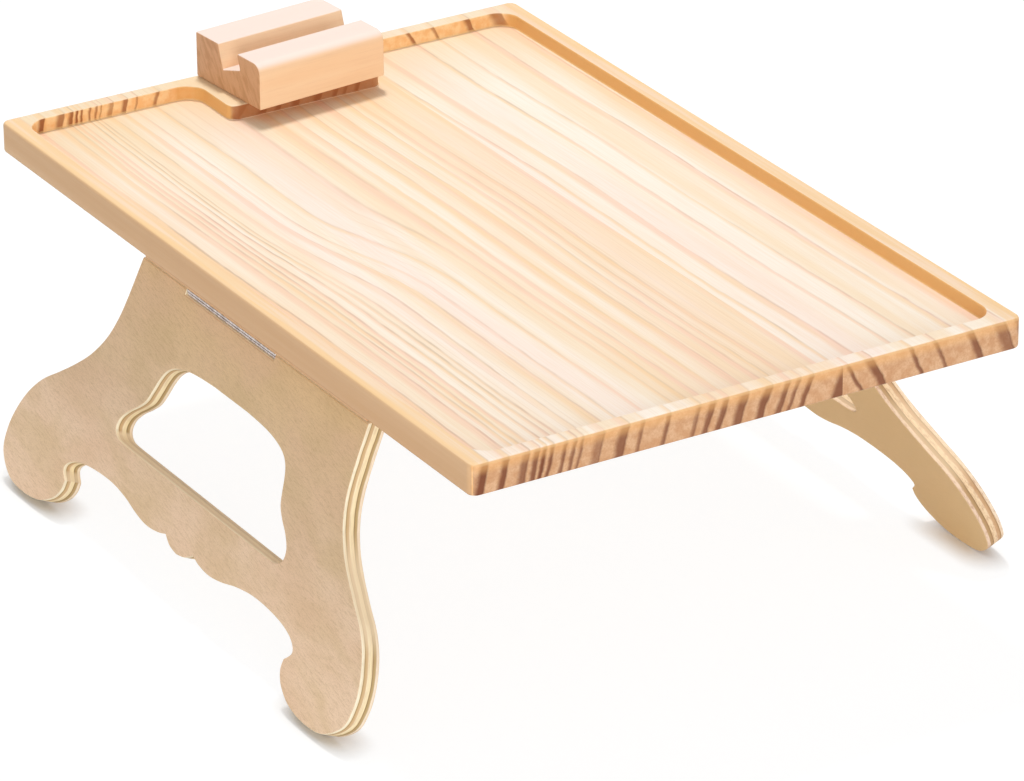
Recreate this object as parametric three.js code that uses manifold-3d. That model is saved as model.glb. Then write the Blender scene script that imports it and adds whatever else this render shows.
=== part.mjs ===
// Sofa arm tray table, in millimetres, +Z up, standing on the floor at Z = 0.
// A pine board with a recessed top stands on two splayed plywood legs.
// Each leg hangs on a butt hinge under a rail, so it folds in below the board.
// A beech phone holder sits on a boss at the back and swivels on one screw.

import * as THREE from 'three';
import { mergeVertices } from 'three/addons/utils/BufferGeometryUtils.js';
import Module from 'manifold-3d';

const wasm = await Module();
wasm.setup();

// Tray board
const boardWidth = 260;
const boardLength = 400;
const boardThickness = 14;
const boardCornerRadius = 4;
const boardArris = 1.5;
const trayHeight = 128;

// Recess in the board's top
const rimWidth = 8;
const recessDepth = 6.5;
const recessCornerRadius = 9.5;
const recessArris = 0.8;

// Boss that stays at full height under the phone holder
const bossWidth = 76;
const bossLength = 32.5;
const bossCornerRadius = 4.5;
const bossFilletRadius = 9.5;

// Phone holder block
const holderLength = 66;
const holderDepth = 50;
const holderHeight = 21;
const holderEdgeRadius = 5;
const holderTurn = 5;
const holderLift = 0.3;
const pivotInset = 23.5;
const pivotOffset = 1.5;

// Phone slot across the block, leaning back
const slotTilt = 17;
const slotWidth = 14;
const slotDepth = 11.8;
const slotLip = 17.6;

// Washer that the block turns on
const washerDiameter = 20;
const washerThickness = 1;

// Hinge rails under the board
const railHeight = 14;
const railLength = 188;

// Plywood legs
const legThickness = 9;
const legSplay = 23.7;
const legInset = 20;
const legSpread = 302;
const legTopWidth = 191;

// Butt hinges
const hingeLength = 76;
const hingeShift = 19;
const leafThickness = 1;
const leafGap = 0.3;
const knuckleCount = 5;
const knuckleDiameter = 4.8;
const knuckleGap = 0.4;
const boreDiameter = 2.8;
const pinDiameter = 2.2;
const barrelGap = 0.4;

// Screws
const pivotScrew = { diameter: 4, head: 8, length: 20 };
const railScrew = { diameter: 3.5, head: 7, length: 20 };
const railLeafScrew = { diameter: 2.5, head: 5, length: 10 };
const legLeafScrew = { diameter: 2.5, head: 5, length: 8 };
const screwTipShare = 0.2;
const railScrewSpacing = 160;
const leafScrewSpacing = 28;
const leafScrewCount = 3;
const legScrewOffset = 1.5;

// Clearances, the overrun of every cut, and the fineness of curves
const fit = 0.3;
const stopGap = 0.3;
const overrun = 5;
const cornerSegments = 6;
const runSegments = 2;
const roundSegments = 18;

// The leg's outline, as shares of half the leg's spread and of the panel's length from its top
const legSideShares = [
	[0.634, 0], [0.641, 0.161], [0.652, 0.253], [0.675, 0.332], [0.719, 0.411], [0.775, 0.477],
	[0.841, 0.541], [0.911, 0.605], [0.96, 0.677], [0.99, 0.76], [1, 0.843], [0.982, 0.923],
	[0.91, 0.986], [0.82, 1], [0.73, 0.986], [0.667, 0.948], [0.637, 0.903], [0.634, 0.862],
];
const legArchShares = [
	[0.634, 0.862], [0.66, 0.828], [0.649, 0.802], [0.613, 0.779], [0.556, 0.763], [0.477, 0.754],
	[0.397, 0.754], [0.318, 0.767], [0.245, 0.788], [0.179, 0.798], [0.119, 0.791], [0.079, 0.777],
];
const legLobeShares = [[0.079, 0.777], [0.043, 0.802], [0, 0.812]];
const legWindowShares = [
	[0.093, 0.23], [0.185, 0.236], [0.252, 0.247], [0.308, 0.268], [0.34, 0.298], [0.358, 0.34],
	[0.37, 0.386], [0.385, 0.43], [0.414, 0.466], [0.45, 0.501], [0.477, 0.542], [0.478, 0.582],
	[0.45, 0.606], [0.397, 0.61],
];

// Angles in radians
const splay = THREE.MathUtils.degToRad(legSplay);
const turn = THREE.MathUtils.degToRad(holderTurn);
const tilt = THREE.MathUtils.degToRad(slotTilt);

// Derived places across the table, measured outward from its middle
const railWidth = legThickness / Math.cos(splay);
const legFaceX = boardWidth / 2 - legInset;
const railOuterX = legFaceX + (railHeight + stopGap) * Math.tan(splay);
const leafStart = knuckleDiameter / 2 + barrelGap;
const axisX = railOuterX - railWidth - leafStart;

// Derived ends of the hinge along its axis
const hingeStart = -hingeShift - hingeLength / 2;
const hingeEnd = hingeStart + hingeLength;

// Derived heights
const railSeat = leafGap / 2 + leafThickness;
const axisZ = trayHeight - railHeight - railSeat;
const panelTop = (railHeight + stopGap) / Math.cos(splay);
const panelLength = (trayHeight - legThickness * Math.sin(splay)) / Math.cos(splay) - panelTop;

// Derived places of the holder, and the shift that brings the whole table's middle over the origin
const pivotY = boardLength / 2 - pivotInset;
const holderReach = pivotY + holderLength / 2 * Math.sin(turn) + holderDepth / 2 * Math.cos(turn);
const middleShift = -Math.max(holderReach - boardLength / 2, 0) / 2;

// Solids and geometries

function toSolid(geometry) {
	const bare = geometry.clone();
	bare.deleteAttribute('normal');
	bare.deleteAttribute('uv');
	const merged = mergeVertices(bare);
	const vertProperties = merged.attributes.position.array;
	const triVerts = Uint32Array.from(merged.index.array);
	return new wasm.Manifold(new wasm.Mesh({ numProp: 3, vertProperties, triVerts }));
}

function toGeometry(solid) {
	const mesh = solid.getMesh();
	const geometry = new THREE.BufferGeometry();
	geometry.setAttribute('position', new THREE.BufferAttribute(mesh.vertProperties, 3));
	geometry.setIndex(new THREE.BufferAttribute(mesh.triVerts, 1));
	const faceted = geometry.toNonIndexed();
	faceted.computeVertexNormals();
	return faceted;
}

// Takes a list of cutting geometries away from a geometry.
function cut(geometry, cutters) {
	let solid = toSolid(geometry);
	for (const cutter of cutters) {
		solid = solid.subtract(toSolid(cutter));
	}
	return toGeometry(solid);
}

// A box given by its two corners.
function boxBetween(low, high) {
	const size = high.map((value, i) => value - low[i]);
	const middle = high.map((value, i) => (value + low[i]) / 2);
	return new THREE.BoxGeometry(...size).translate(...middle);
}

// A flat outline made solid, up from Z = 0, with any bevel given in the same words as the geometry's.
function extruded(outline, depth, bevel = { bevelEnabled: false }) {
	return new THREE.ExtrudeGeometry(outline, { depth, curveSegments: cornerSegments, ...bevel });
}

// Stands a solid up: its outline's x comes to lie along Y, its y along Z and its depth along X.
function standing(geometry) {
	return geometry.rotateX(Math.PI / 2).rotateZ(Math.PI / 2);
}

// A closed outline through corners [x, y, radius], with an arc at each rounded corner.
function roundedOutline(corners) {
	const outline = new THREE.Shape();
	corners.forEach(([x, y, radius], i) => {
		const corner = new THREE.Vector2(x, y);
		const before = new THREE.Vector2(...corners.at(i - 1)).sub(corner).normalize();
		const after = new THREE.Vector2(...corners[(i + 1) % corners.length]).sub(corner).normalize();
		const inward = before.clone().add(after).normalize();
		const halfAngle = Math.acos(before.dot(after)) / 2;
		const setback = radius / Math.tan(halfAngle);
		const centre = corner.clone().addScaledVector(inward, radius / Math.sin(halfAngle));
		const start = corner.clone().addScaledVector(before, setback).sub(centre);
		const end = corner.clone().addScaledVector(after, setback).sub(centre);
		const clockwise = before.cross(after) > 0;
		if (radius > 0) outline.absarc(centre.x, centre.y, radius, start.angle(), end.angle(), clockwise);
		else if (i === 0) outline.moveTo(x, y);
		else outline.lineTo(x, y);
	});
	return outline;
}

// A rod along Z that starts at the bottom, turned from [radius, height] points.
function turned(points) {
	const profile = points.map(([radius, height]) => new THREE.Vector2(radius, height));
	return new THREE.LatheGeometry(profile, roundSegments).rotateX(Math.PI / 2);
}

function rod(diameter, bottom, top) {
	const radius = diameter / 2;
	return turned([[0, bottom], [radius, bottom], [radius, top], [0, top]]);
}

// A countersunk wood screw with its head's face at the origin and its tip down.
function screwGeometry({ diameter, head, length }) {
	const radius = diameter / 2;
	const cone = head / 2 - radius;
	const shoulder = -length * (1 - screwTipShare);
	return turned([[0, -length], [radius, shoulder], [radius, -cone], [head / 2, 0], [0, 0]]);
}

// The hole that such a screw sits in, with the same clearance all round and an open mouth.
function screwHole({ diameter, head, length }) {
	const radius = diameter / 2 + fit;
	const mouth = head / 2 + fit;
	const cone = (head - diameter) / 2;
	const bottom = -length - fit;
	const shaft = [[0, bottom], [radius, bottom], [radius, -cone]];
	return turned([...shaft, [mouth, 0], [mouth, overrun], [0, overrun]]);
}

// Materials

function material(color, roughness, metalness = 0) {
	return new THREE.MeshStandardMaterial({ color, roughness, metalness });
}

function named(name, geometry, finish) {
	const mesh = new THREE.Mesh(geometry, finish());
	mesh.name = name;
	return mesh;
}

const pine = () => material(0xf0cf9c, 0.6);
const plywood = () => material(0xd6b184, 0.65);
const beech = () => material(0xf4c9a0, 0.55);
const steel = () => material(0xb9b4b0, 0.4, 0.9);
const zinc = () => material(0xa8a6a2, 0.45, 0.9);

// Tray board

// The recess runs round the boss, which joins the back rim with a fillet on each side.
function recessOutline() {
	const halfWidth = boardWidth / 2 - rimWidth;
	const halfLength = boardLength / 2 - rimWidth;
	const bossFront = halfLength - bossLength;
	return roundedOutline([
		[-halfWidth, -halfLength, recessCornerRadius],
		[halfWidth, -halfLength, recessCornerRadius],
		[halfWidth, halfLength, recessCornerRadius],
		[bossWidth / 2, halfLength, bossFilletRadius],
		[bossWidth / 2, bossFront, bossCornerRadius],
		[-bossWidth / 2, bossFront, bossCornerRadius],
		[-bossWidth / 2, halfLength, bossFilletRadius],
		[-halfWidth, halfLength, recessCornerRadius],
	]);
}

// Each rail is held by two screws driven up through it into the board.
function railScrewPlaces() {
	return [-railScrewSpacing / 2, railScrewSpacing / 2];
}

function trayBoardGeometry() {
	const halfWidth = boardWidth / 2;
	const halfLength = boardLength / 2;
	const plan = roundedOutline([
		[-halfWidth, -halfLength, boardCornerRadius],
		[halfWidth, -halfLength, boardCornerRadius],
		[halfWidth, halfLength, boardCornerRadius],
		[-halfWidth, halfLength, boardCornerRadius],
	]);
	const board = extruded(plan, boardThickness - boardArris * 2, {
		bevelThickness: boardArris,
		bevelSize: boardArris,
		bevelOffset: -boardArris,
		bevelSegments: 2,
	});
	board.translate(0, 0, boardArris);

	const recess = extruded(recessOutline(), recessDepth + overrun);
	recess.translate(0, 0, boardThickness - recessDepth);

	// The recess's upper edge is broken by a small chamfer.
	const chamfer = extruded(recessOutline(), overrun, {
		bevelThickness: recessArris,
		bevelSize: recessArris,
		bevelSegments: 1,
	});
	chamfer.translate(0, 0, boardThickness);

	const pivotHole = screwHole(pivotScrew).rotateX(Math.PI).translate(pivotOffset, pivotY, 0);
	const railHoles = [];
	for (const side of [-1, 1]) {
		for (const y of railScrewPlaces()) {
			const place = [side * (railOuterX - railWidth / 2), y, -railHeight];
			railHoles.push(screwHole(railScrew).rotateX(Math.PI).translate(...place));
		}
	}
	return cut(board, [recess, chamfer, pivotHole, ...railHoles]);
}

// Phone holder, in its own frame: origin on the pivot at the board's top, +Y to the back

function holderBlockGeometry() {
	const back = holderDepth / 2;
	const backLip = back - slotLip;
	const frontLip = backLip - slotWidth / Math.cos(tilt);
	const floorBack = [backLip - slotDepth * Math.sin(tilt), holderHeight - slotDepth * Math.cos(tilt)];
	const floorFront = [floorBack[0] - slotWidth * Math.cos(tilt), floorBack[1] + slotWidth * Math.sin(tilt)];
	const section = roundedOutline([
		[back, 0, 0],
		[back, holderHeight, 0],
		[backLip, holderHeight, 0],
		[...floorBack, 0],
		[...floorFront, 0],
		[frontLip, holderHeight, 0],
		[-back, holderHeight, holderEdgeRadius],
		[-back, 0, 0],
	]);
	const block = standing(extruded(section, holderLength));
	block.translate(-holderLength / 2, 0, holderLift);

	const washerSeat = rod(washerDiameter + fit * 2, -overrun, washerThickness + fit);
	const pilot = screwHole(pivotScrew).rotateX(Math.PI).translate(0, 0, -boardThickness);
	return cut(block, [washerSeat, pilot]);
}

function washerGeometry() {
	const hole = rod(pivotScrew.diameter + fit * 2, -overrun, overrun);
	return cut(rod(washerDiameter, 0, washerThickness), [hole]);
}

function phoneHolder() {
	const holder = new THREE.Group();
	const screw = named('holder_pivot_screw', screwGeometry(pivotScrew).rotateX(Math.PI), zinc);
	screw.position.z = -boardThickness;
	holder.add(named('phone_holder_block', holderBlockGeometry(), beech));
	holder.add(named('holder_washer', washerGeometry(), zinc));
	holder.add(screw);
	return holder;
}

// Hinge side, in its own frame: origin on the hinge's axis, +X outward, +Y along the table

function railGeometry() {
	const low = [leafStart, -railLength / 2, railSeat];
	const high = [leafStart + railWidth, railLength / 2, railSeat + railHeight];
	const holes = railScrewPlaces().map((y) => {
		return screwHole(railScrew).rotateX(Math.PI).translate(leafStart + railWidth / 2, y, railSeat);
	});
	const pilots = leafScrewPlaces(0).map((place) => {
		return screwHole(railLeafScrew).rotateX(Math.PI).translate(...place, railSeat - leafThickness);
	});
	return cut(boxBetween(low, high), [...holes, ...pilots]);
}

// Where the leaf screws stand, as [x, y], some way outward of the leaf's middle.
function leafScrewPlaces(outward) {
	const x = leafStart + railWidth / 2 + outward;
	const first = -(leafScrewCount - 1) / 2;
	return Array.from({ length: leafScrewCount }, (_, i) => [x, -hingeShift + (first + i) * leafScrewSpacing]);
}

// One leaf lies above the axis and the other below it. Each carries every other knuckle.
function leafGeometry(above) {
	const inner = leafGap / 2;
	const outer = inner + leafThickness;
	const low = above ? inner : -outer;
	const high = above ? outer : -inner;
	const pitch = (hingeLength + knuckleGap) / knuckleCount;
	const knuckleLength = pitch - knuckleGap;
	let leaf = toSolid(boxBetween([leafStart, hingeStart, low], [leafStart + railWidth, hingeEnd, high]));
	for (let i = above ? 0 : 1; i < knuckleCount; i += 2) {
		const from = hingeStart + i * pitch;
		const tongue = boxBetween([0, from, low], [leafStart + fit, from + knuckleLength, high]);
		const knuckle = rod(knuckleDiameter, 0, knuckleLength).rotateX(-Math.PI / 2).translate(0, from, 0);
		leaf = leaf.add(toSolid(tongue)).add(toSolid(knuckle));
	}
	const bore = rod(boreDiameter, hingeStart - overrun, hingeEnd + overrun).rotateX(-Math.PI / 2);
	leaf = leaf.subtract(toSolid(bore));
	for (const place of leafScrewPlaces(above ? 0 : legScrewOffset)) {
		const hole = above ? screwHole(railLeafScrew).rotateX(Math.PI) : screwHole(legLeafScrew);
		leaf = leaf.subtract(toSolid(hole.translate(...place, above ? inner : -inner)));
	}
	return toGeometry(leaf);
}

function pinGeometry() {
	return rod(pinDiameter, hingeStart, hingeEnd).rotateX(-Math.PI / 2);
}

// Points along smooth runs, one run after another, with straight lines left between them.
function smoothPoints(runs) {
	return runs.flatMap((run) => {
		const points = new THREE.SplineCurve(run).getPoints((run.length - 1) * runSegments);
		return [...points.slice(0, -1), run.at(-1)];
	});
}

// The leg's outline stands on its outer face, with its height measured from the board's underside.
function legOutline() {
	const halfSpread = legSpread / 2;
	const point = ([across, down]) => new THREE.Vector2(across * halfSpread, -panelTop - down * panelLength);
	const mirrored = (shares) => shares.map(([across, down]) => [-across, down]).reverse();
	const bothHalves = (halves) => [...halves, ...halves.map(mirrored).reverse()].map((run) => run.map(point));

	const topCorners = [new THREE.Vector2(-legTopWidth / 2, 0), new THREE.Vector2(legTopWidth / 2, 0)];
	const runs = bothHalves([legSideShares, legArchShares, legLobeShares]);
	const outline = new THREE.Shape([...topCorners, ...smoothPoints(runs)]);
	// The window's points run the other way round from the outline's.
	outline.holes.push(new THREE.Path(smoothPoints(bothHalves([legWindowShares])).reverse()));
	return outline;
}

// The panel leans out at the splay. Its top edge is planed level, with a housing for the closed hinge.
function legPanelGeometry() {
	const panel = standing(extruded(legOutline(), legThickness));
	panel.translate(-legThickness, 0, 0).rotateY(-splay);
	panel.translate(legFaceX - axisX, 0, trayHeight - axisZ);

	const top = railSeat - stopGap;
	const above = railSeat + railHeight + overrun;
	const inner = leafStart - overrun;
	const outer = leafStart + railWidth + overrun;
	const planing = boxBetween([inner, -legTopWidth, top], [outer, legTopWidth, above]);
	const housing = boxBetween([inner, hingeStart - fit, -railSeat - fit], [outer, hingeEnd + fit, above]);
	const pilots = leafScrewPlaces(legScrewOffset).map((place) => {
		return screwHole(legLeafScrew).translate(...place, -leafGap / 2);
	});
	return cut(panel, [planing, housing, ...pilots]);
}

function hingeSide(prefix) {
	const side = new THREE.Group();
	const add = (name, geometry, finish, place = [0, 0, 0]) => {
		const mesh = named(`${prefix}_${name}`, geometry, finish);
		mesh.position.set(...place);
		side.add(mesh);
	};
	add('hinge_rail', railGeometry(), pine);
	add('rail_leaf', leafGeometry(true), steel);
	add('hinge_pin', pinGeometry(), steel);
	add('leg_leaf', leafGeometry(false), steel);
	add('leg_panel', legPanelGeometry(), plywood);

	// Screws driven up have their heads turned down, and the leg's own screws are driven down.
	const upward = (size) => screwGeometry(size).rotateX(Math.PI);
	railScrewPlaces().forEach((y, i) => {
		add(`rail_screw_${i + 1}`, upward(railScrew), zinc, [leafStart + railWidth / 2, y, railSeat]);
	});
	leafScrewPlaces(0).forEach((place, i) => {
		add(`rail_leaf_screw_${i + 1}`, upward(railLeafScrew), zinc, [...place, leafGap / 2]);
	});
	leafScrewPlaces(legScrewOffset).forEach((place, i) => {
		add(`leg_leaf_screw_${i + 1}`, screwGeometry(legLeafScrew), zinc, [...place, -leafGap / 2]);
	});
	return side;
}

// Assembly

const table = new THREE.Group();
table.position.y = middleShift;

const trayBoard = named('tray_board', trayBoardGeometry(), pine);
trayBoard.position.z = trayHeight;
table.add(trayBoard);

const holder = phoneHolder();
holder.position.set(pivotOffset, pivotY, trayHeight + boardThickness);
holder.rotation.z = turn;
table.add(holder);

// The right side stands as it is drawn, and the left side is the same one turned half round.
for (const [prefix, facing] of [['left', Math.PI], ['right', 0]]) {
	const side = hingeSide(prefix);
	side.position.set(axisX * Math.cos(facing), 0, axisZ);
	side.rotation.z = facing;
	table.add(side);
}

export default table;
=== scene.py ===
import math

import bmesh
import bpy
import numpy as np
from mathutils import Matrix, Vector
from mathutils.geometry import tessellate_polygon


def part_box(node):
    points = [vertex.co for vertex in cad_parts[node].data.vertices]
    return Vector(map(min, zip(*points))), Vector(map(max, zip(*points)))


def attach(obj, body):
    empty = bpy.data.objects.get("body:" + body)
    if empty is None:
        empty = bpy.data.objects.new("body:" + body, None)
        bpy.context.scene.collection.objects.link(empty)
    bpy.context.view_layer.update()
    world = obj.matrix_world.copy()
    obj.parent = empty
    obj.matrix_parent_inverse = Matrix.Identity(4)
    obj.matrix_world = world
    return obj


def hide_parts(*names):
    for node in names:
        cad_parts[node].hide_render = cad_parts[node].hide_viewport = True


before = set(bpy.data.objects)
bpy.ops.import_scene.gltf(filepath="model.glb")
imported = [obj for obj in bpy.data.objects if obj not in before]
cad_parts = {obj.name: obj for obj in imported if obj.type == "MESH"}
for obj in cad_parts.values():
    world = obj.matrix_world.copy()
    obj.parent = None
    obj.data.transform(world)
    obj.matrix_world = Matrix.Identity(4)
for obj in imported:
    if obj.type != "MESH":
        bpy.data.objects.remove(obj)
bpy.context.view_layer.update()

# All lengths are in millimetres and are scaled on their way into a mesh.
MM = 0.001

# Tray board
BOARD_WIDTH = 260
BOARD_LENGTH = 400
BOARD_THICKNESS = 14
BOARD_CORNER_RADIUS = 4
BOARD_ARRIS = 1.5
TRAY_HEIGHT = 128
RIM_WIDTH = 8
RECESS_DEPTH = 6.5
RECESS_CORNER_RADIUS = 9.5
RECESS_ARRIS = 0.8
RECESS_FLOOR_FILLET = 0.6
BOSS_WIDTH = 76
BOSS_LENGTH = 32.5
BOSS_CORNER_RADIUS = 4.5
BOSS_FILLET_RADIUS = 9.5

# Phone holder
HOLDER_LENGTH = 66
HOLDER_DEPTH = 50
HOLDER_HEIGHT = 21
HOLDER_EDGE_RADIUS = 5
HOLDER_ARRIS = 0.7
SECTION_ARRIS = 0.84
HOLDER_TURN = 5
HOLDER_LIFT = 0.3
PIVOT_INSET = 23.5
PIVOT_OFFSET = 1.5
SLOT_TILT = 17
SLOT_WIDTH = 14
SLOT_DEPTH = 11.8
SLOT_LIP = 17.6
SLOT_CORNER_RADIUS = 0.5
WASHER_DIAMETER = 20
WASHER_THICKNESS = 1
WASHER_BORE = 4.6
WASHER_ARRIS = 0.15

# Hinge rails and legs
RAIL_HEIGHT = 14
RAIL_LENGTH = 188
RAIL_ARRIS = 0.6
LEG_THICKNESS = 9
LEG_SPLAY = 23.7
LEG_INSET = 20
LEG_SPREAD = 302
LEG_TOP_WIDTH = 191
LEG_ARRIS = 0.5
PLY_COUNT = 5
PLY_RELIEF = 0.06
GLUE_BREADTH = 0.12

# Hinges
HINGE_LENGTH = 76
HINGE_SHIFT = 19
LEAF_THICKNESS = 1
LEAF_GAP = 0.3
LEAF_ARRIS = 0.2
LEAF_CORNER_RADIUS = 0.8
LEAF_SEAM = 0.02
PIN_DOME = 0.35
KNUCKLE_COUNT = 5
KNUCKLE_DIAMETER = 4.8
KNUCKLE_GAP = 0.4
BORE_DIAMETER = 2.8
PIN_DIAMETER = 2.2
BARREL_GAP = 0.4

# Screws
PIVOT_SCREW = {"diameter": 4, "head": 8, "length": 20}
RAIL_SCREW = {"diameter": 3.5, "head": 7, "length": 20}
RAIL_LEAF_SCREW = {"diameter": 2.5, "head": 5, "length": 10}
LEG_LEAF_SCREW = {"diameter": 2.5, "head": 5, "length": 8}
SCREW_TIP_SHARE = 0.2
SCREW_ARRIS = 0.12
# The cross recess as shares of the head's radius, and the thread as shares of the shank's
CROSS_REACH = 0.56
CROSS_BREADTH = 0.13
CROSS_TAPER = 0.6
CROSS_SINK = 0.5
SHANK_SHARE = 0.3
THREAD_PITCH = 0.85
THREAD_DEPTH = 0.28
TIP_BLUNTNESS = 0.08
RAIL_SCREW_SPACING = 160
LEAF_SCREW_SPACING = 28
LEAF_SCREW_COUNT = 3
LEG_SCREW_OFFSET = 1.5
FIT = 0.3
STOP_GAP = 0.3

# Fineness of curves
ARC_STEPS = 14
ARRIS_STEPS = 5
RUN_STEPS = 6
ROUND_STEPS = 40
THREAD_STEPS = 6
THREAD_SIDES = 20
SECTION_STEPS = 8

# Cleaning of meshes, in metres
WELD_REACH = 1e-6
THIN_REACH = 1e-7
NORMAL_WEIGHT = 90
# Limits how far a sharp corner is stretched when an outline grows
MITRE_LIMIT = 0.3

# The leg's outline, as shares of half its spread and of the panel's length from its top
SIDE_SHARES = [
    (0.634, 0), (0.641, 0.161), (0.652, 0.253), (0.675, 0.332), (0.719, 0.411), (0.775, 0.477),
    (0.841, 0.541), (0.911, 0.605), (0.96, 0.677), (0.99, 0.76), (1, 0.843), (0.982, 0.923),
    (0.91, 0.986), (0.82, 1), (0.73, 0.986), (0.667, 0.948), (0.637, 0.903), (0.634, 0.862),
]
ARCH_SHARES = [
    (0.634, 0.862), (0.66, 0.828), (0.649, 0.802), (0.613, 0.779), (0.556, 0.763), (0.477, 0.754),
    (0.397, 0.754), (0.318, 0.767), (0.245, 0.788), (0.179, 0.798), (0.119, 0.791), (0.079, 0.777),
]
LOBE_SHARES = [(0.079, 0.777), (0.043, 0.802), (0, 0.812)]
WINDOW_SHARES = [
    (0.093, 0.23), (0.185, 0.236), (0.252, 0.247), (0.308, 0.268), (0.34, 0.298), (0.358, 0.34),
    (0.37, 0.386), (0.385, 0.43), (0.414, 0.466), (0.45, 0.501), (0.477, 0.542), (0.478, 0.582),
    (0.45, 0.606), (0.397, 0.61),
]

# Derived places
SPLAY = math.radians(LEG_SPLAY)
TURN = math.radians(HOLDER_TURN)
TILT = math.radians(SLOT_TILT)
RAIL_WIDTH = LEG_THICKNESS / math.cos(SPLAY)
LEG_FACE_X = BOARD_WIDTH / 2 - LEG_INSET
RAIL_OUTER_X = LEG_FACE_X + (RAIL_HEIGHT + STOP_GAP) * math.tan(SPLAY)
LEAF_START = KNUCKLE_DIAMETER / 2 + BARREL_GAP
AXIS_X = RAIL_OUTER_X - RAIL_WIDTH - LEAF_START
HINGE_START = -HINGE_SHIFT - HINGE_LENGTH / 2
HINGE_END = HINGE_START + HINGE_LENGTH
RAIL_SEAT = LEAF_GAP / 2 + LEAF_THICKNESS
AXIS_Z = TRAY_HEIGHT - RAIL_HEIGHT - RAIL_SEAT
PANEL_TOP = (RAIL_HEIGHT + STOP_GAP) / math.cos(SPLAY)
PANEL_LENGTH = (TRAY_HEIGHT - LEG_THICKNESS * math.sin(SPLAY)) / math.cos(SPLAY) - PANEL_TOP
PIVOT_Y = BOARD_LENGTH / 2 - PIVOT_INSET
HINGE_MIDDLE_X = LEAF_START + RAIL_WIDTH / 2
RAIL_SCREW_PLACES = (-RAIL_SCREW_SPACING / 2, RAIL_SCREW_SPACING / 2)
LEAF_SCREW_PLACES = [
    -HINGE_SHIFT + (i - (LEAF_SCREW_COUNT - 1) / 2) * LEAF_SCREW_SPACING
    for i in range(LEAF_SCREW_COUNT)
]
MIDDLE_SHIFT = BOARD_LENGTH / 2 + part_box("tray_board")[0].y / MM

# Meshes from rings of points


def add(name, data):
    made = bpy.data.objects.new(name, data)
    bpy.context.scene.collection.objects.link(made)
    return made


class Shell:
    """Points in millimetres and the faces between them."""

    def __init__(self):
        self.points = []
        self.faces = []

    def ring(self, points):
        first = len(self.points)
        self.points += [tuple(point) for point in points]
        return list(range(first, first + len(points)))

    def flat_ring(self, outline, height):
        return self.ring([(x, y, height) for x, y in outline])

    def skin(self, lower, upper):
        count = len(lower)
        for i in range(count):
            j = (i + 1) % count
            self.faces.append((lower[i], lower[j], upper[j], upper[i]))

    def skins(self, rings):
        for lower, upper in zip(rings[:-1], rings[1:]):
            self.skin(lower, upper)

    def cap(self, rings, flipped=False):
        """Fills a ring, with any further rings as holes in it."""
        loops = [[Vector(self.points[i]) for i in ring] for ring in rings]
        indices = [i for ring in rings for i in ring]
        for triangle in tessellate_polygon(loops):
            face = [indices[i] for i in triangle]
            a, b, c = (Vector(self.points[i]) for i in face)
            if ((b - a).cross(c - a).z < 0) != flipped:
                face.reverse()
            self.faces.append(tuple(face))

    def walls(self, plan, levels):
        """Rings of a plan at (height, inset) levels, and the skins between them."""
        rings = [self.flat_ring(grown(plan, -inset), height) for height, inset in levels]
        self.skins(rings)
        return rings

    def close(self, rings):
        """Skins between the rings, and a cap at each end."""
        self.skins(rings)
        self.cap([rings[0]], flipped=True)
        self.cap([rings[-1]])

    def hole(self, centre, levels):
        """A round hole through (height, radius) levels, given back as its two mouths."""
        rings = [self.flat_ring(circle(radius, centre), height) for height, radius in levels]
        self.skins(rings)
        return rings[0], rings[-1]

    def screw_hole(self, centre, screw, low, high):
        """A hole with a countersink at its low end."""
        head, shank = screw["head"] / 2 + FIT, screw["diameter"] / 2 + FIT
        return self.hole(centre, [(low, head), (low + head - shank, shank), (high, shank)])

    def blind_hole(self, centre, screw, low, high):
        radius = screw["diameter"] / 2 + FIT
        mouth, end = self.hole(centre, [(low, radius), (high, radius)])
        self.cap([end], flipped=True)
        return mouth

    def piece(self, name, place=Matrix.Identity(4), sharp=50):
        mesh = bpy.data.meshes.new(name)
        mesh.from_pydata([[c * MM for c in point] for point in self.points], [], self.faces)
        smooth(mesh, sharp)
        made = add(name, mesh)
        made.matrix_world = place
        return made


def smooth(mesh, sharp):
    """Welds and turns a mesh's faces outward, and shades it smooth but for its sharp edges."""
    work = bmesh.new()
    work.from_mesh(mesh)
    bmesh.ops.remove_doubles(work, verts=work.verts, dist=WELD_REACH)
    bmesh.ops.dissolve_degenerate(work, edges=work.edges, dist=THIN_REACH)
    bmesh.ops.recalc_face_normals(work, faces=work.faces)
    work.to_mesh(mesh)
    work.free()
    for polygon in mesh.polygons:
        polygon.use_smooth = True
    mesh.set_sharp_from_angle(angle=math.radians(sharp))


def weigh_normals(piece):
    modifier = piece.modifiers.new("weighted_normals", "WEIGHTED_NORMAL")
    modifier.keep_sharp = True
    modifier.weight = NORMAL_WEIGHT


def combine(piece, others, operation, sharp=30):
    """Cuts the others from the piece, or joins them to it, and removes them."""
    for other in others:
        modifier = piece.modifiers.new("combine", "BOOLEAN")
        modifier.operation = operation
        modifier.solver = "EXACT"
        modifier.object = other
    shapes = bpy.context.evaluated_depsgraph_get()
    mesh = bpy.data.meshes.new_from_object(piece.evaluated_get(shapes))
    piece.modifiers.clear()
    piece.data = mesh
    smooth(mesh, sharp)
    for other in others:
        bpy.data.objects.remove(other)


# Outlines in a plane


def arc(centre, radius, start, sweep, steps):
    angles = [start + sweep * i / steps for i in range(steps + 1)]
    return [(centre[0] + radius * math.cos(a), centre[1] + radius * math.sin(a)) for a in angles]


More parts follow.
